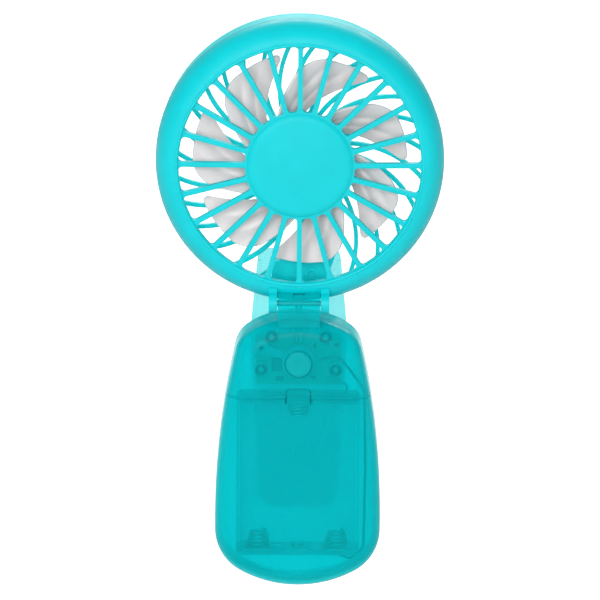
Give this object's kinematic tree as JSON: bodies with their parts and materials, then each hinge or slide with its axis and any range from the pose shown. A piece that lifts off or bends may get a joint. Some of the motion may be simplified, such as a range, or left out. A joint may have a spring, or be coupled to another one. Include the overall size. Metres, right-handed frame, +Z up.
{
  "type": "handheld electric fan",
  "caption": "Battery hand fan: round spoked guard with a swept-blade impeller on a folding hinge, flat translucent handle with push button and battery bay, spring clip behind.",
  "frame": {"origin": "centre of the handle, on the plane where its front and rear shells part", "axes": "+Z up along the handle towards the head, the front with the button and the air outlet faces -Y, +X to the right of someone facing the front"},
  "size_m": [0.111, 0.0388, 0.2245],
  "materials": {
    "turquoise_opaque": "satin moulded plastic",
    "turquoise_clear": "smooth translucent moulded plastic",
    "turquoise_clip": "translucent moulded plastic",
    "blade_grey": "satin moulded plastic",
    "pin_steel": "bright drawn steel",
    "screw_steel": "zinc plated",
    "contact_plate": "nickel plated spring steel",
    "board_green": "solder mask on glass fibre laminate",
    "component_black": "moulded",
    "switch_black": "moulded",
    "lead_red": "insulated wire",
    "lead_black": "insulated wire",
    "lead_pair": "insulated wire",
    "motor_steel": "drawn and plated steel",
    "motor_plastic": "moulded",
    "motor_copper": "enamelled copper wire",
    "magnet_black": "sintered ferrite",
    "bushing_bronze": "sintered bronze",
    "brush_bronze": "phosphor bronze strip"
  },
  "bodies": {
    "handle": {"front_cover": "turquoise_clear", "rear_shell": "turquoise_clear", "battery_tray": "turquoise_clear", "contact_top_positive": "contact_plate", "contact_top_link": "contact_plate", "contact_bottom_link": "contact_plate", "contact_bottom_negative": "contact_plate", "circuit_board": "board_green", "board_components": "component_black", "switch_body": "switch_black", "housing_screws": "screw_steel", "battery_lead_negative": "lead_black", "battery_lead_positive": "lead_red", "motor_leads_handle": "lead_pair", "clip_pin": "pin_steel", "clip_spring": "screw_steel"},
    "door": {"battery_door": "turquoise_clear"},
    "button": {"power_button": "turquoise_clear"},
    "plunger": {"switch_plunger": "component_black"},
    "clip": {"clip_plate": "turquoise_clip"},
    "head": {"front_grille": "turquoise_opaque", "rear_grille": "turquoise_opaque", "hinge_pin": "pin_steel", "lead_cover": "turquoise_opaque", "motor_can": "motor_steel", "motor_end_cap": "motor_plastic", "motor_bushing": "bushing_bronze", "motor_magnets": "magnet_black", "motor_brushes": "brush_bronze", "motor_leads_head": "lead_pair", "motor_leads_hinge": "lead_pair"},
    "rotor": {"impeller": "blade_grey", "motor_shaft": "pin_steel", "motor_armature": "motor_copper"}
  },
  "joints": [
    {"name": "head_fold", "type": "hinge", "parent": "handle", "child": "head", "pos_m": [0, -0.013, 0.0614], "axis": [1, 0, 0], "range_deg": [0, 180], "deforming": ["motor_leads_hinge"]},
    {"name": "impeller_spin", "type": "hinge", "parent": "head", "child": "rotor", "pos_m": [0, 0, 0.1155], "axis": [0, -1, 0], "continuous": true},
    {"name": "power_button_press", "type": "hinge", "parent": "handle", "child": "button", "pos_m": [-0.0143, -0.00785, 0.0423], "axis": [0.3703, 0, 0.9289], "range_deg": [0, 2.2], "stiffness_Nm_per_rad": 0.4, "springref_deg": -1.15},
    {"name": "switch_plunger_press", "type": "slide", "parent": "handle", "child": "plunger", "axis": [0, 1, 0], "range_m": [0, 0.0006]},
    {"name": "battery_door_removal", "type": "slide", "parent": "handle", "child": "door", "axis": [0, 0, -1], "range_m": [0, 0.012]},
    {"name": "clip_open", "type": "hinge", "parent": "handle", "child": "clip", "pos_m": [0, 0.015, 0.036], "axis": [1, 0, 0], "range_deg": [0, 6], "stiffness_Nm_per_rad": 0.8, "springref_deg": -20.05, "deforming": ["clip_spring"]}
  ],
  "couplings": [
    {"joint": "switch_plunger_press", "follows": "power_button_press", "m_per_rad": 0.01539}
  ]
}
